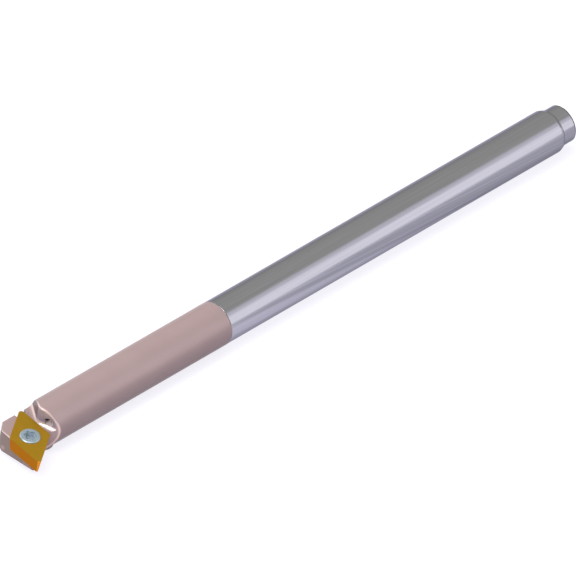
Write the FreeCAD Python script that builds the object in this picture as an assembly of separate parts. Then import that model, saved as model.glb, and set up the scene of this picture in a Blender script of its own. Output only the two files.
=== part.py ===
import FreeCAD, Part
import math
import os

# Boring bar for turning inside a bore: a ground round shank, a machined steel head
# brazed to its front, a diamond cutting insert and the countersunk screw that holds it.
# Millimetres. The origin is on the bar's axis where head and shank meet, +X runs to the
# rear end, the cutting corner reaches out to -Y, and +Z is up, the side the rake faces.

os.makedirs("parts", exist_ok=True)

# Driving sizes: the bar
bar_diameter = 12.0
overall_length = 200.0
head_length = 74.5
head_oversize = 0.1
joint_chamfer_length = 0.55
joint_chamfer_depth = 0.12
rear_chamfer_length = 1.0
rear_chamfer_depth = 0.33
stub_diameter = 10.3
stub_length = 4.7
stub_chamfer = 0.25
shank_bore_diameter = 4.0

# Driving sizes: the insert, a 55 degree diamond with 7 degree flanks
insert_circle = 9.525
insert_thickness = 3.97
point_angle = 55.0
flank_angle = 7.0
nose_radius = 0.8
insert_hole_diameter = 4.4
countersink_diameter = 5.5
countersink_angle = 60.0

# Driving sizes: where the insert stands
nose_reach = 11.5
radial_tilt = 10.0
lead_angle = 2.2
cutting_height = 0.1

# Driving sizes: the screw
thread_diameter = 3.5
screw_head_diameter = 5.4
screw_head_proud = 0.25
screw_head_round = 0.28
screw_engagement = 2.1
screw_end_chamfer = 0.4
socket_across_lobes = 3.65
socket_across_waists = 2.65
socket_lobe_radius = 0.3
socket_depth = 1.35
socket_floor_depth = 0.35
socket_turn = 10.0

# Driving sizes: the head around the insert
land_drop = 1.15
front_setback = 1.12
front_corner_cut = 1.95
front_corner_round = 2.2
front_chamfer_angle = 36.0
side_setback = 0.95
bevel_start = -8.25
bevel_angle = 45.0
side_exit_start = 11.5
side_exit_offset = 4.2
side_exit_angle = 45.0
side_exit_lean = 13.0
side_cutter_radius = 1.2
underside_cut = 1.05
underside_length = 13.4
underside_runout = 1.7
pad_start = 10.0
pad_end = 14.2
pad_reach = 4.2
pad_corner_round = 3.0
front_top_round = 0.3
front_bottom_round = 0.45

# Driving sizes: the chip gullet and the coolant way
gullet_ridge_place = 11.1
gullet_ridge_offset = 0.44
gullet_ridge_radius = 2.0
gullet_inner_angle = 33.3
gullet_outer_angle = 15.6
gullet_floor_radius = 1.2
gullet_rim_round = 0.45
relief_width = 3.1
relief_overrun = 0.6
head_bore_diameter = 3.5
head_bore_end = 13.2
outlet_diameter = 2.15
outlet_offset = 2.6
outlet_above_land = 1.75
outlet_swing = 48.0
outlet_rise = 8.0

# Clearances
wall_gap = 0.03
cone_gap = 0.02
thread_gap = 0.03

# Sizes that follow from the ones above
bar_radius = bar_diameter / 2.0
head_round = (bar_diameter + head_oversize) / 2.0
clear_of_bar = 3.0 * bar_diameter
underside_height = head_round - underside_cut
front_flat_end = head_round - front_corner_cut
half_point = math.radians(point_angle / 2.0)
lead = math.radians(lead_angle)
tilt = math.radians(radial_tilt)
half_circle = insert_circle / 2.0
flank_shrink = insert_thickness * math.tan(math.radians(flank_angle))
half_sink = math.radians(countersink_angle / 2.0)
rake_level = nose_reach * math.sin(tilt) + cutting_height * math.cos(tilt)
nose_across = nose_reach * math.cos(tilt) - cutting_height * math.sin(tilt)
seat_level = rake_level - insert_thickness
land_level = rake_level - land_drop
rear_end = overall_length - head_length

# The tilted tool frame: x runs back from the nose, y lies in the rake plane, z is its normal
nose_centre = FreeCAD.Vector(nose_radius, nose_radius - nose_across, 0)
long_way = FreeCAD.Vector(math.sin(lead + half_point), math.cos(lead + half_point), 0)
insert_centre = nose_centre + long_way * ((half_circle - nose_radius) / math.sin(half_point))
front_normal = FreeCAD.Vector(-math.cos(lead), math.sin(lead), 0)
trailing_lean = lead + 2.0 * half_point
trailing_normal = FreeCAD.Vector(math.cos(trailing_lean), -math.sin(trailing_lean), 0)
front_way = FreeCAD.Vector(math.sin(lead), math.cos(lead), 0)
trailing_way = FreeCAD.Vector(math.sin(trailing_lean), math.cos(trailing_lean), 0)


def lifted(point, level):
    return FreeCAD.Vector(point.x, point.y, level)


def crossing(start, way, other_start, other_way):
    """The point where two lines of the plan meet."""
    gap = other_start - start
    turn = way.x * other_way.y - way.y * other_way.x
    along = (gap.x * other_way.y - gap.y * other_way.x) / turn
    return start + way * along


def rounded_wire(corners, level):
    """A closed outline from (point, radius) corners, each radius an arc that meets both sides."""
    tangents = []
    for place, (point, radius) in enumerate(corners):
        before = (corners[place - 1][0] - point).normalize()
        after = (corners[(place + 1) % len(corners)][0] - point).normalize()
        half = before.getAngle(after) / 2.0
        reach = radius / math.tan(half)
        middle_way = (before + after).normalize()
        middle = point + middle_way * (radius / math.sin(half) - radius)
        tangents.append((point + before * reach, middle, point + after * reach, radius))
    edges = []
    for place, (start, middle, end, radius) in enumerate(tangents):
        following = tangents[(place + 1) % len(tangents)][0]
        if radius > 0:
            arc = Part.Arc(lifted(start, level), lifted(middle, level), lifted(end, level))
            edges.append(arc.toShape())
        edges.append(Part.LineSegment(lifted(end, level), lifted(following, level)).toShape())
    return Part.Wire(edges)


def prism(corners, bottom, top):
    face = Part.Face(rounded_wire(corners, bottom))
    return face.extrude(FreeCAD.Vector(0, 0, top - bottom))


def diamond_corners(front, rear, trailing, inner):
    """The insert's plan with each of its four sides moved outwards by a distance."""
    front_line = insert_centre + front_normal * (half_circle + front)
    rear_line = insert_centre - front_normal * (half_circle + rear)
    trailing_line = insert_centre + trailing_normal * (half_circle + trailing)
    inner_line = insert_centre - trailing_normal * (half_circle + inner)
    return [
        crossing(front_line, front_way, trailing_line, trailing_way),
        crossing(rear_line, front_way, trailing_line, trailing_way),
        crossing(rear_line, front_way, inner_line, trailing_way),
        crossing(front_line, front_way, inner_line, trailing_way),
    ]


def placed(shape):
    """Turns a shape from the tool frame to the bar's own frame."""
    turned = shape.copy()
    turned.rotate(FreeCAD.Vector(0, 0, 0), FreeCAD.Vector(1, 0, 0), radial_tilt)
    turned.translate(FreeCAD.Vector(-head_length, 0, 0))
    return turned


def tool_place(point):
    """A point of the bar's own frame as the tool frame sees it."""
    turn = FreeCAD.Rotation(FreeCAD.Vector(1, 0, 0), -radial_tilt)
    return turn.multVec(point + FreeCAD.Vector(head_length, 0, 0))


def edges_where(shape, test):
    return [edge for edge in shape.Edges if test(edge)]


def middle_of(edge):
    return edge.valueAt((edge.FirstParameter + edge.LastParameter) / 2.0)


def make_shank():
    """Plain ground bar with a lead chamfer, a reduced stub at the rear and a coolant bore."""
    shoulder = rear_end - stub_length
    rim_radius = bar_radius - rear_chamfer_depth
    stub_radius = stub_diameter / 2.0
    bore_radius = shank_bore_diameter / 2.0
    profile = [
        (0, bore_radius),
        (0, bar_radius),
        (shoulder - rear_chamfer_length, bar_radius),
        (shoulder, rim_radius),
        (shoulder, stub_radius),
        (rear_end - stub_chamfer, stub_radius),
        (rear_end, stub_radius - stub_chamfer),
        (rear_end, bore_radius),
    ]
    points = [FreeCAD.Vector(along, 0, radius) for along, radius in profile]
    outline = Part.makePolygon(points + points[:1])
    return Part.Face(outline).revolve(FreeCAD.Vector(0, 0, 0), FreeCAD.Vector(1, 0, 0), 360)


def nose_plan(level):
    """The head's outline at one level of the tool frame, as its front is milled to shape."""
    front_line = insert_centre + front_normal * (half_circle - front_setback)
    side_line = insert_centre + trailing_normal * (half_circle - side_setback)
    across = FreeCAD.Vector(1, 0, 0)
    inner_corner = crossing(front_line, front_way, FreeCAD.Vector(0, front_flat_end, 0), across)
    bevel_corner = crossing(front_line, front_way, FreeCAD.Vector(0, bevel_start, 0), across)
    chamfer = math.radians(front_chamfer_angle)
    chamfer_way = FreeCAD.Vector(math.cos(chamfer), math.sin(chamfer), 0)
    bevel = math.radians(bevel_angle)
    bevel_way = FreeCAD.Vector(math.cos(bevel), -math.sin(bevel), 0)
    leaving = math.radians(side_exit_angle)
    exit_way = FreeCAD.Vector(math.cos(leaving), -math.sin(leaving), 0)
    exit_normal = FreeCAD.Vector(-math.sin(leaving), -math.cos(leaving), 0)
    swell = (land_level - level) * math.tan(math.radians(side_exit_lean))
    exit_point = FreeCAD.Vector(side_exit_start, -side_exit_offset, 0) + exit_normal * swell
    outer = FreeCAD.Vector(0, -bar_diameter, 0)
    inner = FreeCAD.Vector(0, bar_diameter, 0)
    corners = [
        (inner_corner, front_corner_round),
        (crossing(inner_corner, chamfer_way, inner, across), 0),
        (FreeCAD.Vector(head_length + bar_diameter, bar_diameter, 0), 0),
        (FreeCAD.Vector(head_length + bar_diameter, -bar_diameter, 0), 0),
        (crossing(exit_point, exit_way, outer, across), 0),
        (crossing(side_line, trailing_way, exit_point, exit_way), side_cutter_radius),
        (crossing(side_line, trailing_way, bevel_corner, bevel_way), 0),
        (bevel_corner, 0),
    ]
    return rounded_wire(corners, level)


def blank():
    """Round bar with the block on its cutting side that the nose is milled from."""
    along = FreeCAD.Vector(1, 0, 0)
    straight = head_length - joint_chamfer_length
    bar = Part.makeCylinder(head_round, straight, FreeCAD.Vector(0, 0, 0), along)
    joint_round = head_round - joint_chamfer_depth
    joint_start = FreeCAD.Vector(straight, 0, 0)
    taper = Part.makeCone(head_round, joint_round, joint_chamfer_length, joint_start, along)
    bar = bar.fuse(taper)
    bar.rotate(FreeCAD.Vector(0, 0, 0), along, 180)
    block_outline = [
        (FreeCAD.Vector(-bar_diameter, 0, 0), 0),
        (FreeCAD.Vector(-bar_diameter, -clear_of_bar, 0), 0),
        (FreeCAD.Vector(pad_start, -clear_of_bar, 0), 0),
        (FreeCAD.Vector(pad_start, -pad_reach, 0), 0),
        (FreeCAD.Vector(pad_end, -pad_reach, 0), pad_corner_round),
        (FreeCAD.Vector(pad_end, 0, 0), 0),
    ]
    block = prism(block_outline, -head_round, rake_level)
    whole = bar.fuse(block)
    whole.translate(FreeCAD.Vector(-head_length, 0, 0))
    return whole


def gullet_cutter():
    """What is milled away above the land, up to the two walls that meet at a ridge."""
    ridge = FreeCAD.Vector(gullet_ridge_place, gullet_ridge_offset, 0)
    inner = math.radians(gullet_inner_angle)
    outer = math.radians(gullet_outer_angle)
    inner_way = FreeCAD.Vector(math.sin(inner), math.cos(inner), 0)
    outer_way = FreeCAD.Vector(math.sin(outer), -math.cos(outer), 0)
    reach = 1.5 * bar_diameter
    corners = [
        (FreeCAD.Vector(-bar_diameter, -reach, 0), 0),
        (ridge + outer_way * reach, 0),
        (ridge, gullet_ridge_radius),
        (ridge + inner_way * reach, 0),
        (FreeCAD.Vector(-bar_diameter, reach, 0), 0),
    ]
    cutter = prism(corners, land_level, clear_of_bar)
    wall_feet = edges_where(
        cutter,
        lambda edge: abs(middle_of(edge).z - land_level) < 1e-6
        and middle_of(edge).x > ridge.x - gullet_ridge_radius
        and abs(edge.tangentAt(edge.FirstParameter).x) < 0.9,
    )
    return cutter.makeFillet(gullet_floor_radius, wall_feet)


def pocket_cutter():
    """The seat: two walls that lean as the insert's flanks do, open towards the cut."""
    open_side = insert_circle
    top = diamond_corners(open_side, wall_gap, open_side, wall_gap)
    sunk = wall_gap - flank_shrink
    bottom = diamond_corners(open_side, sunk, open_side, sunk)
    top_wire = rounded_wire([(corner, 0) for corner in top], rake_level)
    bottom_wire = rounded_wire([(corner, 0) for corner in bottom], seat_level)
    walls = Part.makeLoft([bottom_wire, top_wire], True, True)
    inner_corner = diamond_corners(0, 0, 0, 0)[2]
    relief_start = inner_corner - long_way * relief_overrun
    half_width = FreeCAD.Vector(-long_way.y, long_way.x, 0) * (relief_width / 2.0)
    slot_end = relief_start + long_way * bar_diameter
    slot_corners = [
        (relief_start - half_width, 0),
        (slot_end - half_width, 0),
        (slot_end + half_width, 0),
        (relief_start + half_width, 0),
    ]
    slot = prism(slot_corners, seat_level, rake_level)
    foot = lifted(relief_start, seat_level)
    slot_start = Part.makeCylinder(relief_width / 2.0, insert_thickness, foot)
    return walls.fuse([slot, slot_start])


def underside_cutter():
    """Flat under the nose that runs out into the round bar."""
    deep = clear_of_bar
    points = [
        FreeCAD.Vector(-head_length - deep, -deep, -underside_height),
        FreeCAD.Vector(underside_length - head_length, -deep, -underside_height),
        FreeCAD.Vector(underside_length + underside_runout - head_length, -deep, -head_round),
        FreeCAD.Vector(underside_length + underside_runout - head_length, -deep, -deep),
        FreeCAD.Vector(-head_length - deep, -deep, -deep),
    ]
    face = Part.Face(Part.makePolygon(points + points[:1]))
    return face.extrude(FreeCAD.Vector(0, 2.0 * deep, 0))


def screw_hole():
    radius = thread_diameter / 2.0 + thread_gap
    foot = lifted(insert_centre, -clear_of_bar)
    return Part.makeCylinder(radius, clear_of_bar + seat_level, foot)


def coolant_way():
    """Bore from the joint, and a slanted drilling that meets it from the gullet's outer wall."""
    forward = FreeCAD.Vector(-1, 0, 0)
    start = FreeCAD.Vector(head_length, 0, 0)
    bore_radius = head_bore_diameter / 2.0
    bore = Part.makeCylinder(bore_radius, head_length - head_bore_end, start, forward)
    outer = math.radians(gullet_outer_angle)
    behind = (gullet_ridge_offset + outlet_offset) * math.tan(outer)
    mouth = FreeCAD.Vector(gullet_ridge_place + behind, -outlet_offset, land_level + outlet_above_land)
    swing = math.radians(outlet_swing)
    level_way = FreeCAD.Vector(-math.cos(swing), -math.sin(swing), 0)
    drill_way = (level_way + FreeCAD.Vector(0, 0, math.tan(math.radians(outlet_rise)))).normalize()
    inside = -mouth.y / drill_way.y
    root = mouth + drill_way * inside
    outlet = Part.makeCylinder(
        outlet_diameter / 2.0, abs(inside) + outlet_diameter, root, drill_way
    )
    return bore.fuse(outlet)


def front_bottom_edges(body):
    def wanted(edge):
        middle = middle_of(edge)
        level = abs(middle.z + underside_height) < 1e-6
        return level and edge.Length > bar_radius and middle.x < insert_centre.x - head_length

    return edges_where(body, wanted)


def front_top_edges(body):
    def wanted(edge):
        middle = tool_place(middle_of(edge))
        level = abs(middle.z - land_level) < 1e-6
        return level and middle.x < insert_centre.x and middle.y > bevel_start

    return edges_where(body, wanted)


def gullet_rim_edges(body):
    """Edges where the gullet's two walls leave through the round of the bar."""

    def wanted(edge):
        middle = middle_of(edge)
        place = tool_place(middle)
        on_round = abs(math.hypot(middle.y, middle.z) - head_round) < 1e-4
        above_foot = place.z > land_level + gullet_floor_radius
        return on_round and above_foot and abs(place.x - gullet_ridge_place) < bar_radius

    return edges_where(body, wanted)


def make_head():
    """The blank with its gullet, milled to its plan, then the seat, screw hole and coolant way."""
    body = blank().cut(underside_cutter())
    body = body.cut(placed(gullet_cutter()))
    body = body.makeFillet(gullet_rim_round, gullet_rim_edges(body))
    sides = Part.makeLoft([nose_plan(-bar_diameter), nose_plan(bar_diameter)], True, True)
    body = body.common(placed(sides))
    body = body.makeFillet(front_bottom_round, front_bottom_edges(body))
    body = body.makeFillet(front_top_round, front_top_edges(body))
    body = body.cut(placed(pocket_cutter()))
    body = body.cut(placed(screw_hole()))
    body = body.cut(placed(coolant_way()))
    return body.removeSplitter()


def make_insert():
    """Diamond plate with leaning flanks, rounded corners and a countersunk hole."""
    top = [(corner, nose_radius) for corner in diamond_corners(0, 0, 0, 0)]
    small = -flank_shrink
    bottom_corners = diamond_corners(small, small, small, small)
    bottom = [(corner, nose_radius - flank_shrink) for corner in bottom_corners]
    wires = [rounded_wire(bottom, seat_level), rounded_wire(top, rake_level)]
    plate = Part.makeLoft(wires, True, True)
    hole_radius = insert_hole_diameter / 2.0
    hole = Part.makeCylinder(hole_radius, insert_thickness, lifted(insert_centre, seat_level))
    sink_radius = countersink_diameter / 2.0
    sink_depth = (sink_radius - hole_radius) / math.tan(half_sink)
    sink_foot = lifted(insert_centre, rake_level - sink_depth)
    sink = Part.makeCone(hole_radius, sink_radius, sink_depth, sink_foot)
    return placed(plate.cut(hole).cut(sink))


def socket_wire(level):
    """Six-lobed key socket: convex lobes joined by waists, each arc tangent to the next."""
    lobe_place = socket_across_lobes / 2.0 - socket_lobe_radius
    waist = socket_across_waists / 2.0
    cosine = math.cos(math.radians(30))
    above = socket_lobe_radius**2 - lobe_place**2 - waist**2 + 2.0 * lobe_place * waist * cosine
    waist_radius = above / (2.0 * (waist - lobe_place * cosine - socket_lobe_radius))
    waist_place = waist + waist_radius

    def at(distance, degrees):
        turn = math.radians(degrees)
        side = FreeCAD.Vector(distance * math.cos(turn), distance * math.sin(turn), 0)
        return lifted(insert_centre + side, level)

    edges = []
    share = socket_lobe_radius / (socket_lobe_radius + waist_radius)
    for lobe in range(6):
        angle = socket_turn + 60.0 * lobe
        lobe_centre = at(lobe_place, angle)
        before = lobe_centre + (at(waist_place, angle - 30) - lobe_centre) * share
        after = lobe_centre + (at(waist_place, angle + 30) - lobe_centre) * share
        next_centre = at(lobe_place, angle + 60)
        following = next_centre + (at(waist_place, angle + 30) - next_centre) * share
        edges.append(Part.Arc(before, at(socket_across_lobes / 2.0, angle), after).toShape())
        edges.append(Part.Arc(after, at(waist, angle + 30), following).toShape())
    return Part.Wire(edges)


def make_clamp_screw():
    """Countersunk screw with a six-lobed socket, its cone seated in the insert."""
    head_radius = screw_head_diameter / 2.0
    shaft_radius = thread_diameter / 2.0
    cone_top = (countersink_diameter / 2.0 - cone_gap - head_radius) / math.tan(half_sink)
    cone_foot = cone_top + (head_radius - shaft_radius) / math.tan(half_sink)
    top = rake_level + screw_head_proud
    end = seat_level - screw_engagement
    centre = insert_centre.x
    profile = [
        (0, top),
        (head_radius, top),
        (head_radius, rake_level - cone_top),
        (shaft_radius, rake_level - cone_foot),
        (shaft_radius, end + screw_end_chamfer),
        (shaft_radius - screw_end_chamfer, end),
        (0, end),
    ]
    points = [FreeCAD.Vector(centre + across, insert_centre.y, level) for across, level in profile]
    outline = Part.makePolygon(points + points[:1])
    screw = Part.Face(outline).revolve(insert_centre, FreeCAD.Vector(0, 0, 1), 360)
    rim = edges_where(
        screw,
        lambda edge: abs(middle_of(edge).z - top) < 1e-6 and edge.Length > 3.0 * head_radius,
    )
    screw = screw.makeFillet(screw_head_round, rim)
    socket_face = Part.Face(socket_wire(top - socket_depth))
    socket = socket_face.extrude(FreeCAD.Vector(0, 0, socket_depth + screw_head_round))
    floor_cone = Part.makeCone(
        0,
        socket_across_waists / 2.0,
        socket_floor_depth,
        lifted(insert_centre, top - socket_depth - socket_floor_depth),
    )
    return placed(screw.cut(socket).cut(floor_cone))


parts = {
    "shank": make_shank(),
    "head": make_head(),
    "insert": make_insert(),
    "clamp_screw": make_clamp_screw(),
}
for name, shape in parts.items():
    shape.exportStep("parts/" + name + ".step")
    print(name, shape.isValid(), len(shape.Solids), round(shape.Volume, 1))
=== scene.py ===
# %% [markdown]
# # A boring bar, dressed for its photograph
# A boring bar turns the inside of a hole: a round shank is gripped in a sleeve, and a
# small diamond insert at the far end does the cutting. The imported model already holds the
# four real pieces, to size: the shank, the steel head brazed to it, the insert and its
# screw. Blender adds what the eye needs: how each surface was made, how its edges catch
# the light, and the light itself.

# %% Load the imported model
import math

import bmesh
import bpy
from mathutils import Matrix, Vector


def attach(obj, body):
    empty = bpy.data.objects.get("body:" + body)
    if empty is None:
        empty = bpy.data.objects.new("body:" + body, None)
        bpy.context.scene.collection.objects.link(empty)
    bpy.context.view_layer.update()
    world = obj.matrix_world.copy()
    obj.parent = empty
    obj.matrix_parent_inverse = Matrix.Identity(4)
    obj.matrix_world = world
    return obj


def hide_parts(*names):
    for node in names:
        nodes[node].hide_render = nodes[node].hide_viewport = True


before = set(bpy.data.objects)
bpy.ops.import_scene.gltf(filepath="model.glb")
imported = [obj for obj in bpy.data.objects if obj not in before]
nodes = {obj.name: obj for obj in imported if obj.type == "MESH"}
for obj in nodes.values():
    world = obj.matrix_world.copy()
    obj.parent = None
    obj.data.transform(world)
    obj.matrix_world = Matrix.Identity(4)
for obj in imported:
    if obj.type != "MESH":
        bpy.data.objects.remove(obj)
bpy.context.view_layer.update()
print("nodes:", sorted(nodes))

# %% [markdown]
# ## Colours and nodes
# A material's colours are written as the hex values a screen shows. Blender's shaders work
# in linear light, so one function turns each hex value to linear once. A second small
# function adds any node, sets its sockets and returns it, which keeps each material
# readable as a list. A third starts an empty material.

# %% Helpers for every material
MM = 0.001


def linear(hex_colour):
    """A screen colour such as "#A08A86" as linear red, green, blue and alpha."""
    channels = [int(hex_colour[place : place + 2], 16) / 255 for place in (1, 3, 5)]
    steps = [c / 12.92 if c <= 0.04045 else ((c + 0.055) / 1.055) ** 2.4 for c in channels]
    return (*steps, 1.0)


def add_node(tree, kind, sockets=None, **settings):
    """Adds one node; sockets maps an input's name or number to a value or to another output."""
    node = tree.nodes.new(kind)
    for name, value in settings.items():
        setattr(node, name, value)
    for name, value in (sockets or {}).items():
        if isinstance(value, bpy.types.NodeSocket):
            tree.links.new(value, node.inputs[name])
        else:
            node.inputs[name].default_value = value
    return node


def new_material(name):
    """An empty node material with its output and its shader already joined."""
    material = bpy.data.materials.new(name)
    material.use_nodes = True
    tree = material.node_tree
    tree.nodes.clear()
    shader = add_node(tree, "ShaderNodeBsdfPrincipled")
    add_node(tree, "ShaderNodeOutputMaterial", {"Surface": shader.outputs["BSDF"]})
    return material, tree, shader


print("helpers for materials ready")

# %% [markdown]
# ## Patterns, masks and layers
# Every finish here is built in the same steps. A pattern of soft patches has a real size
# in millimetres. A mask picks out faces by limits on where they lie or which way they
# look. Layers of colour then go over a ground colour, each let through by its own mask,
# the way a painter works with a stencil. Last comes a relief too fine to model, which is
# drawn as a bump.

# %% Helpers for patterns, masks and layers
PATCH_EDGES = (0.3, 0.7)


def place_in_mm(tree, stretch=(1, 1, 1)):
    """The object's own coordinates in millimetres, squeezed along an axis where wanted."""
    place = add_node(tree, "ShaderNodeTexCoord")
    scale = [1 / (MM * part) for part in stretch]
    sockets = {"Vector": place.outputs["Object"], "Scale": scale}
    return add_node(tree, "ShaderNodeMapping", sockets).outputs["Vector"]


def mask(tree, *limits, within=1.0, shape="LINEAR"):
    """Inside another mask, 1 where every value reaches its second limit, 0 at its first."""
    whole = within
    for value, start, end in limits:
        sockets = {"Value": value, "From Min": start, "From Max": end}
        step = add_node(tree, "ShaderNodeMapRange", sockets, interpolation_type=shape)
        sockets = {0: whole, 1: step.outputs["Result"]}
        whole = add_node(tree, "ShaderNodeMath", sockets, operation="MULTIPLY").outputs[0]
    return whole


def patches(tree, place, size_mm, detail=3.0):
    """Soft patches about size_mm across, from 0 to 1, on coordinates in millimetres."""
    sockets = {"Vector": place, "Scale": 1 / size_mm, "Detail": detail}
    cloudy = add_node(tree, "ShaderNodeTexNoise", sockets).outputs["Fac"]
    return mask(tree, (cloudy, *PATCH_EDGES))


def painted(tree, ground, *layers):
    """A ground colour under layers, each a mask and the colour that it lets through."""
    below = linear(ground) if isinstance(ground, str) else ground
    for stencil, colour in layers:
        above = linear(colour) if isinstance(colour, str) else colour
        sockets = {"Factor": stencil, 6: below, 7: above}
        below = add_node(tree, "ShaderNodeMix", sockets, data_type="RGBA").outputs[2]
    return below


def vary(tree, socket, pattern, low, high):
    """Lets a shader's socket go from low to high as a pattern goes from 0 to 1."""
    sockets = {"Value": pattern, "To Min": low, "To Max": high}
    step = add_node(tree, "ShaderNodeMapRange", sockets)
    tree.links.new(step.outputs["Result"], socket)


def relief(tree, shader, place, size_mm, detail, strength, depth_mm):
    """Gives a shader a fine relief: noise of a real size, drawn as a bump."""
    sockets = {"Vector": place, "Scale": 1 / size_mm, "Detail": detail}
    height = add_node(tree, "ShaderNodeTexNoise", sockets).outputs["Fac"]
    sockets = {"Height": height, "Strength": strength, "Distance": depth_mm * MM}
    bump = add_node(tree, "ShaderNodeBump", sockets)
    tree.links.new(bump.outputs["Normal"], shader.inputs["Normal"])


print("helpers for patterns, masks and layers ready")

# %% [markdown]
# ## Ground carbide for the shank
# The shank is sintered tungsten carbide, ground round between wheels. Grinding leaves
# very fine rings round the bar, and sliding in and out of sleeves leaves faint long rubs
# along it. The rings are far finer than a pixel, so they are drawn 0.3 mm apart, and the
# rubs are a noise stretched 60 times along the bar. Metals keep the default IOR: their
# colour is in the base colour.

# %% Start the ground carbide
GRINDING_RING_MM = 0.3
RING_STRETCH = 12
RUB_WIDTH_MM = 0.5
RUB_STRETCH = 60

ground_carbide, tree, shader = new_material("ground_carbide")
rubs = patches(tree, place_in_mm(tree, (RUB_STRETCH, 1, 1)), RUB_WIDTH_MM)
bare = painted(tree, "#9F9EA8", (rubs, "#A5A4AE"))
shader.inputs["Metallic"].default_value = 1.0
shader.inputs["Specular Tint"].default_value = linear("#BEBEC4")
vary(tree, shader.inputs["Roughness"], rubs, 0.14, 0.2)
ring_place = place_in_mm(tree, (1, RING_STRETCH, RING_STRETCH))
relief(tree, shader, ring_place, GRINDING_RING_MM, 1.0, 0.06, 0.02)
print("made", ground_carbide.name, "with rings", GRINDING_RING_MM, "mm apart")

# %% [markdown]
# ## A painted reflection in a slow spiral
# On one side of the bar the colour is painted darker, as a painted reflection of the shade
# on the floor, and past the patch's edge a little brighter, as reflected light. The patch
# ends in a long slow spiral, half a degree for each millimetre, with fine painted streaks
# of reflection beside it. The angle round the bar, less that slow turn, is the same all
# along the spiral, so this one value draws its edge and its streaks.

# %% Add the spiral to the carbide
SPIRAL_PER_MM = 0.00873
SPIRAL_EDGE = 1.288
SPIRAL_FADE = 0.04
PATCH_START = (1.15, 1.31)
STREAK_WIDTH = 0.1
BEYOND_EDGE = 1.25
IN_PATCH = 0.75

# The dark patch, its streaks and the brighter strip past its edge are painted reflection.
spot = add_node(tree, "ShaderNodeSeparateXYZ", {"Vector": place_in_mm(tree)}).outputs
across = add_node(tree, "ShaderNodeMath", {0: spot["Y"], 1: -1.0}, operation="MULTIPLY").outputs[0]
turn = add_node(tree, "ShaderNodeMath", {0: across, 1: spot["Z"]}, operation="ARCTAN2").outputs[0]
sockets = {0: spot["X"], 1: -SPIRAL_PER_MM, 2: turn}
spiral = add_node(tree, "ShaderNodeMath", sockets, operation="MULTIPLY_ADD").outputs[0]

sockets = {"Value": spiral, "To Min": 1.0, "To Max": -0.35}
sockets.update({"From Min": SPIRAL_EDGE - SPIRAL_FADE, "From Max": SPIRAL_EDGE + SPIRAL_FADE})
below_edge = add_node(tree, "ShaderNodeMapRange", sockets).outputs["Result"]
streak_place = add_node(tree, "ShaderNodeCombineXYZ", {"X": spiral}).outputs["Vector"]
sockets = {"Vector": streak_place, "Scale": 1 / STREAK_WIDTH, "Detail": 1.0}
reflection_streaks = add_node(tree, "ShaderNodeTexNoise", sockets).outputs["Fac"]
sockets = {"Value": reflection_streaks, "From Min": 0.35, "From Max": 0.65, "To Min": -0.5, "To Max": 0.5}
reflection_streaks = add_node(tree, "ShaderNodeMapRange", sockets).outputs["Result"]
sockets = {0: below_edge, 1: reflection_streaks}
reflection_edge_and_streaks = add_node(tree, "ShaderNodeMath", sockets, operation="ADD").outputs[0]
sockets = {0: mask(tree, (turn, *PATCH_START)), 1: reflection_edge_and_streaks}
painted_reflection = add_node(tree, "ShaderNodeMath", sockets, operation="MULTIPLY").outputs[0]

# Painted reflection: the colour goes down to 0.75 in the patch and up towards 1.25 past it.
sockets = {"Value": painted_reflection, "From Min": -1.0, "To Min": BEYOND_EDGE, "To Max": IN_PATCH}
brightness = add_node(tree, "ShaderNodeMapRange", sockets).outputs["Result"]
carbide_colour = add_node(
    tree, "ShaderNodeVectorMath", {0: bare, "Scale": brightness}, operation="SCALE"
)
tree.links.new(carbide_colour.outputs["Vector"], shader.inputs["Base Color"])
print("the spiral turns", round(math.degrees(SPIRAL_PER_MM), 2), "degrees for each mm")

# %% [markdown]
# ## Painted edge shade and sintered skin
# A dark, rough carbide on the shoulder and the rear end of the stub draws a thin dark line
# of painted shade along the two rear edges. The bore and the end face wear it too, as the
# dark skin left by the sintering furnace. It is the same carbide with a much rougher,
# darker surface.

# %% Make the dark skin for the rear edges and the bore
SKIN_GRAIN_MM = 0.15

skin_and_edge_shade, tree, shader = new_material("skin_and_edge_shade")
grain = patches(tree, place_in_mm(tree), SKIN_GRAIN_MM, 2.0)
shader.inputs["Metallic"].default_value = 0.7
tree.links.new(painted(tree, "#4E4E50", (grain, "#5C5C5E")), shader.inputs["Base Color"])
vary(tree, shader.inputs["Roughness"], grain, 0.5, 0.6)
print("made", skin_and_edge_shade.name)

# %% [markdown]
# ## Which face of the head is which
# The head is one mesh, but the cutter and the drill left different faces on it. The milled
# faces lie inside the round, so their distance from the bar's axis finds them, and the way
# a face looks, from -1 to 1 along each axis, tells the front, the walls, the cheek beside
# the seat and the roundings apart. The outlet and the bore behind it are drilled, so their
# distance from a straight line finds them.

# %% Find the faces of the head
OUTLET_MOUTH = (-62.55, -3.03, 2.2)
OUTLET_WAY = (-0.6626, -0.7489, 0.0093)
# A line along the bar through this point marks a painted highlight on a front-face corner.
CORNER_HIGHLIGHT_AT = (0.0, 3.04, -3.45)
ALONG_BAR = (1, 0, 0)
UP_AND_OVER = (0, -0.6, 1)
# Each pair of limits gives where a mask is 0 and where it is 1, in millimetres.
HEAD_SKIN = (6.03, 5.98)
MILLED_LENGTH = (-58.0, -60.0)
BEHIND_NOSE = (-70.0, -68.0)
RIM_BAND = (5.5, 5.7)
RIM_SIDE = (2.8, -0.8)
CORNER_SPOT = (0.95, 0.2)
OUTLET_WALL = (1.12, 1.09)
BORE_WALL = (1.82, 1.78)
BORE_END = (-61.5, -61.4)


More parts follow.
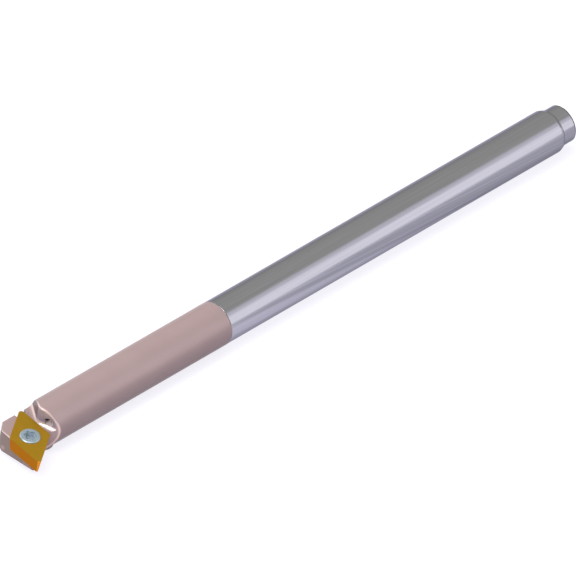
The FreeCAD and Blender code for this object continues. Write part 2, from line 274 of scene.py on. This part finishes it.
def off_line(tree, place, point, way):
    """How far a place lies from the straight line through point along way."""
    offset = add_node(tree, "ShaderNodeVectorMath", {0: place, 1: point}, operation="SUBTRACT")
    sockets = {0: offset.outputs["Vector"], 1: way}
    across = add_node(tree, "ShaderNodeVectorMath", sockets, operation="CROSS_PRODUCT")
    sockets = {0: across.outputs["Vector"]}
    return add_node(tree, "ShaderNodeVectorMath", sockets, operation="LENGTH").outputs["Value"]


treated_steel, tree, shader = new_material("treated_steel")
place = place_in_mm(tree)
spot = add_node(tree, "ShaderNodeSeparateXYZ", {"Vector": place}).outputs
way = add_node(tree, "ShaderNodeTexCoord").outputs["Normal"]
looks = add_node(tree, "ShaderNodeSeparateXYZ", {"Vector": way}).outputs
sockets = {0: way, 1: UP_AND_OVER}
tipped = add_node(tree, "ShaderNodeVectorMath", sockets, operation="DOT_PRODUCT").outputs["Value"]
off_axis = off_line(tree, place, (0, 0, 0), ALONG_BAR)
from_corner = off_line(tree, place, CORNER_HIGHLIGHT_AT, ALONG_BAR)
from_outlet = off_line(tree, place, OUTLET_MOUTH, OUTLET_WAY)

below_skin = mask(tree, (off_axis, *HEAD_SKIN))
milled = mask(tree, (spot["X"], *MILLED_LENGTH), within=below_skin)
# The masks below pick the faces whose colour carries painted light and shade.
behind_nose = mask(tree, (spot["X"], *BEHIND_NOSE))
forward = mask(tree, (looks["X"], -0.8, -0.95), within=milled)
# Painted highlight on one corner of the front face.
corner_highlight = mask(tree, (from_corner, *CORNER_SPOT), within=forward)
# Painted light: the cheek beside the seat gets a lighter colour.
cheek = mask(tree, (looks["X"], -0.3, -0.5), (looks["Y"], -0.45, -0.6), within=milled)
# Painted shade: the wall that looks inward gets a darker colour.
inner = mask(tree, (looks["Y"], 0.35, 0.5), (looks["Z"], 0.5, 0.35), within=milled)
# Painted highlight: roundings that lean up and forward get a pale colour.
leaning = mask(tree, (looks["X"], -0.35, -0.55), (tipped, 0.15, 0.32), within=milled)
leaning = mask(tree, (looks["Z"], 0.08, 0.25), (looks["Z"], 0.9, 0.75), within=leaning)
on_ridge = mask(tree, (looks["Y"], 0.08, 0.2))
# Painted highlight: a pale band along the rims.
rim = mask(tree, (off_axis, *RIM_BAND), (looks["Z"], -0.25, 0.05), within=milled)
rim = mask(tree, (spot["Y"], *RIM_SIDE), (spot["X"], *BEHIND_NOSE), within=rim)
# The outlet and bore found here get painted light: a near-white colour inside the hole.
in_outlet = mask(tree, (from_outlet, *OUTLET_WALL), within=below_skin)
in_bore = mask(tree, (off_axis, *BORE_WALL), (spot["X"], *BORE_END))
sockets = {0: in_outlet, 1: in_bore}
drilled = add_node(tree, "ShaderNodeMath", sockets, operation="MAXIMUM").outputs[0]
print("the head's faces are told apart by", len(tree.nodes), "nodes")

# %% [markdown]
# ## Surface-treated steel for the head
# The head is hardened steel with a thin surface treatment that gives a satin rose-grey
# tone. It is less glossy than the ground shank, so its highlights are broad, and the milled
# faces keep the finer finish of the cutter. Light and shade are painted into its colour:
# the rims, the roundings by the gullet and one corner of the front face carry painted
# highlights; the faces that look forward are a painted shade darker, and the gullet wall
# among them painted paler and cooler; the cheek beside the seat is painted lighter; the
# wall that looks inward is painted shade, with its gloss turned down; and the coolant hole
# and the bore behind it are painted pale, as light inside them.

# %% Make the treated steel
CLOUD_MM = 6.0
GRAIN_MM = 0.12

clouds = patches(tree, place, CLOUD_MM)
steel_colour = painted(
    tree,
    "#A99395",
    (clouds, "#AC9698"),
    # Painted shade: faces that look forward are darker, the gullet wall among them paler and
    # cooler.
    (forward, painted(tree, "#998680", (behind_nose, "#B8AFC3"))),
    # Painted highlight on one corner of the front face.
    (corner_highlight, "#C0A9A5"),
    # Painted light on the cheek beside the seat.
    (cheek, "#BAA1A4"),
    # Painted shade on the wall that looks inward.
    (inner, "#887674"),
    # Painted light inside the coolant hole and the bore.
    (drilled, "#FAF2F0"),
    # Painted highlight on the roundings by the gullet, a little less on the ridge.
    (leaning, painted(tree, "#EED8D6", (on_ridge, "#E2CBCA"))),
    # Painted highlight along the rims.
    (rim, "#F4D7D4"),
)
shader.inputs["Metallic"].default_value = 0.25
shader.inputs["Specular Tint"].default_value = linear("#928888")
tree.links.new(steel_colour, shader.inputs["Base Color"])
vary(tree, shader.inputs["Roughness"], milled, 0.29, 0.2)
sheen = add_node(tree, "ShaderNodeMapRange", {"Value": milled, "To Min": 0.2, "To Max": 0.5})
# Gloss is turned down on the inward-looking wall, along with its painted shade.
vary(tree, shader.inputs["Specular IOR Level"], inner, sheen.outputs["Result"], 0.1)
relief(tree, shader, place, GRAIN_MM, 2.0, 0.1, 0.01)
print("made", treated_steel.name)

# %% [markdown]
# ## Gold-coloured coating on the insert
# The insert is pressed and sintered carbide with a titanium nitride coating a few
# thousandths of a millimetre thick. The coating is a metal-like ceramic: gold in colour,
# matt because the pressed grains below show through. The flanks are given a more orange
# gold than the rake face, and a paler orange round the nose is a painted highlight, so the
# colour follows the way each face looks.

# %% Make the gold coating
GOLD_CLOUD_MM = 2.5
PRESSED_GRAIN_MM = 0.1

gold_coating, tree, shader = new_material("gold_coating")
place = place_in_mm(tree)
clouds = patches(tree, place, GOLD_CLOUD_MM)
grain = patches(tree, place, PRESSED_GRAIN_MM, 2.0)
way = add_node(tree, "ShaderNodeTexCoord").outputs["Normal"]
looks = add_node(tree, "ShaderNodeSeparateXYZ", {"Vector": way}).outputs
rake = mask(tree, (looks["Z"], 0.4, 0.6))
# Painted highlight: a paler orange on the faces round the nose.
nose = mask(tree, (looks["X"], -0.9, -0.78))
past_nose = mask(tree, (looks["X"], 0.3, 0.5))
flank_gold = painted(
    tree, "#B2751C", (clouds, "#B67920"), (nose, "#E69A3A"), (past_nose, "#B2751C")
)
rake_gold = painted(tree, "#A37E24", (clouds, "#A78228"))
shader.inputs["Metallic"].default_value = 0.85
shader.inputs["Specular IOR Level"].default_value = 0.25
shader.inputs["Specular Tint"].default_value = linear("#D89A40")
tree.links.new(painted(tree, flank_gold, (rake, rake_gold)), shader.inputs["Base Color"])
vary(tree, shader.inputs["Roughness"], grain, 0.42, 0.52)
relief(tree, shader, place, PRESSED_GRAIN_MM, 2.0, 0.12, 0.01)
print("made", gold_coating.name)

# %% [markdown]
# ## Blue-grey steel for the clamp screw
# The screw is cold-formed and hardened steel with a thin blue-grey coating. In the socket
# the walls are painted paler than the head's top, as painted light in the shaded recess, and
# the floor is painted darker than the walls, as painted shade; the socket is also rougher.
# Depth below the top finds the socket, and the way a face looks tells the floor from the
# walls.

# %% Make the screw steel
SCREW_TILT = math.radians(10)
SCREW_CLOUD_MM = 0.8
SOCKET_STARTS = 0.1
SOCKET_FULL = 0.3

screw_way = Vector((0, -math.sin(SCREW_TILT), math.cos(SCREW_TILT)))
screw_points = nodes["clamp_screw"].data.vertices
screw_top = max(point.co.dot(screw_way) for point in screw_points) / MM
screw_steel, tree, shader = new_material("screw_steel")
place = place_in_mm(tree)
clouds = patches(tree, place, SCREW_CLOUD_MM)
sockets = {0: place, 1: tuple(screw_way)}
level = add_node(tree, "ShaderNodeVectorMath", sockets, operation="DOT_PRODUCT").outputs["Value"]
sockets = {0: add_node(tree, "ShaderNodeTexCoord").outputs["Normal"], 1: tuple(screw_way)}
upward = add_node(tree, "ShaderNodeVectorMath", sockets, operation="DOT_PRODUCT").outputs["Value"]
sunk = mask(tree, (level, screw_top - SOCKET_STARTS, screw_top - SOCKET_FULL))
# Painted light on the socket's walls and painted shade on its floor.
painted_socket = painted(tree, "#DCE5ED", (mask(tree, (upward, 0.4, 0.7)), "#A6B1BB"))
screw_colour = painted(tree, "#A8B7C6", (clouds, "#B2C1D0"), (sunk, painted_socket))
shader.inputs["Metallic"].default_value = 1.0
tree.links.new(screw_colour, shader.inputs["Base Color"])
vary(tree, shader.inputs["Roughness"], sunk, 0.35, 0.8)
print("made", screw_steel.name, "with its top at", round(screw_top, 2), "mm")

# %% [markdown]
# ## The shank as a turned profile
# A round bar is best made as its outline turned about the axis. The outline repeats the
# solid's sizes and adds what the solid leaves out: edges broken by a few hundredths of a
# millimetre, which catch a thin line of light. Smooth shading blends the surface's
# directions across each face, so points close to both ends of every long run keep them
# true there.

# %% Helpers for a turned profile
ROUND_STEPS = 192
TO_THE_ROUND = 0.29


def softened(outline, cut):
    """Breaks each inner corner of an open outline with two short steps that round it."""
    points = [outline[0]]
    for before, corner, after in zip(outline, outline[1:], outline[2:]):
        corner = Vector(corner)
        back = (Vector(before) - corner).normalized() * cut
        ahead = (Vector(after) - corner).normalized() * cut
        points.append(tuple(corner + back))
        points.append(tuple(corner + (back + ahead) * TO_THE_ROUND))
        points.append(tuple(corner + ahead))
    points.append(outline[-1])
    return points


def held(outline, margin):
    """Adds a point near each end of every long run, so that smooth shading stays true there."""
    points = [outline[0]]
    for start, end in zip(outline, outline[1:]):
        run = Vector(end) - Vector(start)
        if run.length > 3 * margin:
            step = run.normalized() * margin
            points.extend([tuple(Vector(start) + step), tuple(Vector(end) - step)])
        points.append(end)
    return points


def turned(name, outline, steps=ROUND_STEPS):
    """A closed solid of revolution about X from (x, radius) points in millimetres."""
    mesh = bpy.data.meshes.new(name)
    shape = bmesh.new()
    rings = []
    for along, radius in outline:
        ring = []
        for step in range(steps):
            turn = 2 * math.pi * step / steps
            point = Vector((along, radius * math.cos(turn), radius * math.sin(turn)))
            ring.append(shape.verts.new(point * MM))
        rings.append(ring)
    for first, second in zip(rings, rings[1:] + rings[:1]):
        for step in range(steps):
            following = (step + 1) % steps
            corners = (first[step], second[step], second[following], first[following])
            shape.faces.new(corners)
    bmesh.ops.recalc_face_normals(shape, faces=shape.faces)
    shape.to_mesh(mesh)
    shape.free()
    mesh.shade_smooth()
    piece = bpy.data.objects.new(name, mesh)
    bpy.context.scene.collection.objects.link(piece)
    return piece


print("a round is drawn in", ROUND_STEPS, "steps")

# %% [markdown]
# ## The shank's sizes and its two surfaces
# The outline runs through the bore to the front face, back along the ground round to the
# lead chamfer that guides the bar into its sleeve, over the thin stub and into the bore
# again. It starts and ends in the middle of the bore, where the turned shape closes on
# itself unseen. The shoulder, the rear end and the bore get the dark skin, which along the
# two rear edges is painted shade, and the rest is ground.

# %% Turn the shank
BAR_RADIUS = 6.0
SHANK_END = 125.5
STUB_RADIUS = 5.15
STUB_LENGTH = 4.7
LEAD_CHAMFER = (1.0, 0.33)
STUB_CHAMFER = 0.25
BORE_RADIUS = 2.0
BORE_SEAM = (60.0, 61.0)
BROKEN_EDGE = 0.06
EDGE_BAND_WIDTH = 0.2

shoulder = SHANK_END - STUB_LENGTH
stub_edge = SHANK_END - STUB_CHAMFER
shank_outline = [
    (BORE_SEAM[0], BORE_RADIUS),
    (0.0, BORE_RADIUS),
    (0.0, BAR_RADIUS),
    (shoulder - LEAD_CHAMFER[0], BAR_RADIUS),
    (shoulder, BAR_RADIUS - LEAD_CHAMFER[1]),
    (shoulder, STUB_RADIUS),
    (stub_edge, STUB_RADIUS),
    (SHANK_END, STUB_RADIUS - STUB_CHAMFER),
    (SHANK_END, BORE_RADIUS),
    (BORE_SEAM[1], BORE_RADIUS),
]
shank_profile = held(softened(shank_outline, BROKEN_EDGE), EDGE_BAND_WIDTH)
ground_shank = turned("ground_shank", shank_profile)
ground_shank.data.materials.append(ground_carbide)
ground_shank.data.materials.append(skin_and_edge_shade)
# The shoulder and the rear end take the dark skin as painted shade along the edges; the bore takes
# it as furnace skin.
for face in ground_shank.data.polygons:
    along, across = face.center.x / MM, math.hypot(face.center.y, face.center.z) / MM
    at_shoulder = shoulder - 1.5 * EDGE_BAND_WIDTH < along and across > STUB_RADIUS - BROKEN_EDGE
    at_end = along > stub_edge - EDGE_BAND_WIDTH - BROKEN_EDGE
    past_shoulder = along > shoulder + BROKEN_EDGE
    if at_end or (at_shoulder and not past_shoulder) or across < BORE_RADIUS:
        face.material_index = 1
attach(ground_shank, "root")
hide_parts("shank")
print("shank faces:", len(ground_shank.data.polygons))

# %% [markdown]
# ## Materials on the other pieces
# The head, insert and screw keep the solids' own meshes, which are already to size and
# rounded where the photograph shows round edges. Each gets its material.

# %% Dress the head, the insert and the screw
finishes = {"head": treated_steel, "insert": gold_coating, "clamp_screw": screw_steel}
for name, material in finishes.items():
    mesh = nodes[name].data
    mesh.materials.clear()
    mesh.materials.append(material)
    print(name, "wears", material.name)

# %% [markdown]
# ## A paper floor
# The photograph stands on plain white. The floor is a pale matt sheet that keeps the
# object's shadow, and adds a little light of its own for what looks at it, straight or
# in a reflection, so that it reads as white without more light on the object. This glow
# is light and not paint, so its colour is given as linear levels.

# %% Lay the floor
FLOOR_LEVEL = -6.05 * MM
FLOOR_HALF = 6.0
FLOOR_LIFT = 0.83
FLOOR_GLOW = (0.97, 0.96, 1.0, 1)

paper, tree, shader = new_material("matt_paper")
seen = add_node(tree, "ShaderNodeLightPath").outputs
sockets = {0: seen["Is Camera Ray"], 1: seen["Is Glossy Ray"]}
looked_at = add_node(tree, "ShaderNodeMath", sockets, operation="MAXIMUM").outputs[0]
sockets = {0: looked_at, 1: seen["Is Transmission Ray"]}
looked_at = add_node(tree, "ShaderNodeMath", sockets, operation="MAXIMUM").outputs[0]
vary(tree, shader.inputs["Emission Strength"], looked_at, 0.0, FLOOR_LIFT)
shader.inputs["Base Color"].default_value = linear("#828290")
shader.inputs["Roughness"].default_value = 0.9
shader.inputs["Emission Color"].default_value = FLOOR_GLOW

floor_mesh = bpy.data.meshes.new("floor")
corners = [(-1, -1), (1, -1), (1, 1), (-1, 1)]
floor_points = [(x * FLOOR_HALF, y * FLOOR_HALF, FLOOR_LEVEL) for x, y in corners]
floor_mesh.from_pydata(floor_points, [], [(0, 1, 2, 3)])
floor_mesh.materials.append(paper)
floor = bpy.data.objects.new("floor", floor_mesh)
bpy.context.scene.collection.objects.link(floor)
print("floor at", round(FLOOR_LEVEL / MM, 2), "mm")

# %% [markdown]
# ## A sky with a window
# Polished round metal shows little of its own: it shows the room. The sky is an even grey,
# dimmer low on the cutting end's side. A window painted in it, brightest near the horizon,
# draws the band along the shank. Light is given here as linear levels, where 1 is a
# screen's white, because the window is brighter than any hex value can say.

# %% Paint the sky and its window
SKY_LOW = (0.62, 0.62, 0.58, 1)
SKY_HIGH = (0.65, 0.66, 0.585, 1)
SKY_CHANGE = (0.0, 0.45)
WINDOW_TURN = -45.0
WINDOW_SIDES = (0.88, 0.92)
WINDOW_TOP = (0.72, 0.69)
WINDOW_GLOW = (1.15, 1.15, 1.18, 1)
LOW_WINDOW_TOP = (0.56, 0.5)
LOW_WINDOW_GLOW = (1.72, 1.7, 1.72, 1)

world = bpy.data.worlds.new("studio")
bpy.context.scene.world = world
world.use_nodes = True
tree = world.node_tree
tree.nodes.clear()
way = add_node(tree, "ShaderNodeTexCoord").outputs["Generated"]
parts = add_node(tree, "ShaderNodeSeparateXYZ", {"Vector": way}).outputs
height = parts["Z"]
sky = painted(tree, SKY_LOW, (mask(tree, (height, *SKY_CHANGE)), SKY_HIGH))
sockets = {"Value": height, "From Min": 0.1, "From Max": 0.6, "To Min": 0.2, "To Max": 0.65}
dim_side = add_node(tree, "ShaderNodeMapRange", sockets).outputs["Result"]
sockets = {"Value": parts["X"], "From Min": -0.2, "From Max": 0.35, "To Min": dim_side}
dimmed = add_node(tree, "ShaderNodeMapRange", sockets).outputs["Result"]
sockets = {0: sky, "Scale": dimmed}
sky_light = add_node(tree, "ShaderNodeVectorMath", sockets, operation="SCALE").outputs["Vector"]

flat_way = add_node(tree, "ShaderNodeVectorMath", {0: way, 1: (1, 1, 0)}, operation="MULTIPLY")
sockets = {0: flat_way.outputs["Vector"]}
unit_way = add_node(tree, "ShaderNodeVectorMath", sockets, operation="NORMALIZE")
turn = math.radians(WINDOW_TURN)
sockets = {0: unit_way.outputs["Vector"], 1: (math.cos(turn), math.sin(turn), 0)}
facing = add_node(tree, "ShaderNodeVectorMath", sockets, operation="DOT_PRODUCT").outputs["Value"]
across_window = mask(tree, (facing, *WINDOW_SIDES), shape="SMOOTHSTEP")
full_window = mask(tree, (height, *WINDOW_TOP), within=across_window, shape="SMOOTHSTEP")
low_window = mask(tree, (height, *LOW_WINDOW_TOP), within=across_window, shape="SMOOTHSTEP")
lit = painted(tree, sky_light, (full_window, WINDOW_GLOW), (low_window, LOW_WINDOW_GLOW))
glow = add_node(tree, "ShaderNodeBackground", {"Color": lit, "Strength": 1.0})
add_node(tree, "ShaderNodeOutputWorld", {"Surface": glow.outputs["Background"]})
print("the window is at", WINDOW_TURN, "degrees")

# %% [markdown]
# ## Three soft lamps
# A broad lamp overhead shapes the head, one on the far side lights its upper edge, and a
# narrow upright one in front puts the white gleam into the gullet. How bright a lamp looks
# is given for each square metre of it, so its size can change and its glare stays.

# %% Hang the lamps
LAMP_DISTANCE = 1.6


def soft_lamp(name, towards, size, brightness):
    """A rectangular lamp in the direction towards, facing the object, as bright as given."""
    lamp = bpy.data.lights.new(name, "AREA")
    lamp.shape = "RECTANGLE"
    lamp.size, lamp.size_y = size
    lamp.energy = brightness * math.pi * size[0] * size[1]
    stand = bpy.data.objects.new(name, lamp)
    bpy.context.scene.collection.objects.link(stand)
    way = Vector(towards).normalized()
    stand.location = way * LAMP_DISTANCE
    stand.rotation_mode = "QUATERNION"
    stand.rotation_quaternion = way.to_track_quat("Z", "Y")
    print(name, "at", [round(value, 2) for value in stand.location])


soft_lamp("key_panel", (-0.15, 0.0, 1.0), (1.2, 1.2), 3.5)
soft_lamp("side_panel", (0.015, 0.866, 0.5), (1.2, 1.25), 1.35)
soft_lamp("strip_light", (-0.836, 0.03, 0.545), (0.16, 1.4), 13.0)

# %% [markdown]
# ## Camera
# The photograph is a long-lens picture from the front left, looking down along the
# diagonal of a cube, so parallel edges stay parallel. A very long lens from far away gives
# the same look and still lets the other views move the camera round.

# %% Place the camera
FRAME_WIDTH = 146.56 * MM
LENS = 1700.0
SENSOR = 36.0
LOOK_AT = Vector((24.99, -0.98, -1.06)) * MM
NEAREST_SEEN = 0.1
FARTHEST_SEEN = 20.0

camera_data = bpy.data.cameras.new("camera")
camera_data.lens = LENS
camera_data.sensor_width = SENSOR
camera_data.clip_start = NEAREST_SEEN
camera_data.clip_end = FARTHEST_SEEN
camera = bpy.data.objects.new("camera", camera_data)
bpy.context.scene.collection.objects.link(camera)
bpy.context.scene.camera = camera
back = Vector((-1, -1, 1)).normalized()
distance = FRAME_WIDTH * LENS / SENSOR
camera.location = LOOK_AT + back * distance
camera.rotation_mode = "QUATERNION"
camera.rotation_quaternion = back.to_track_quat("Z", "Y")
bpy.context.scene.view_settings.view_transform = "Standard"
print("camera", round(distance, 2), "m away")
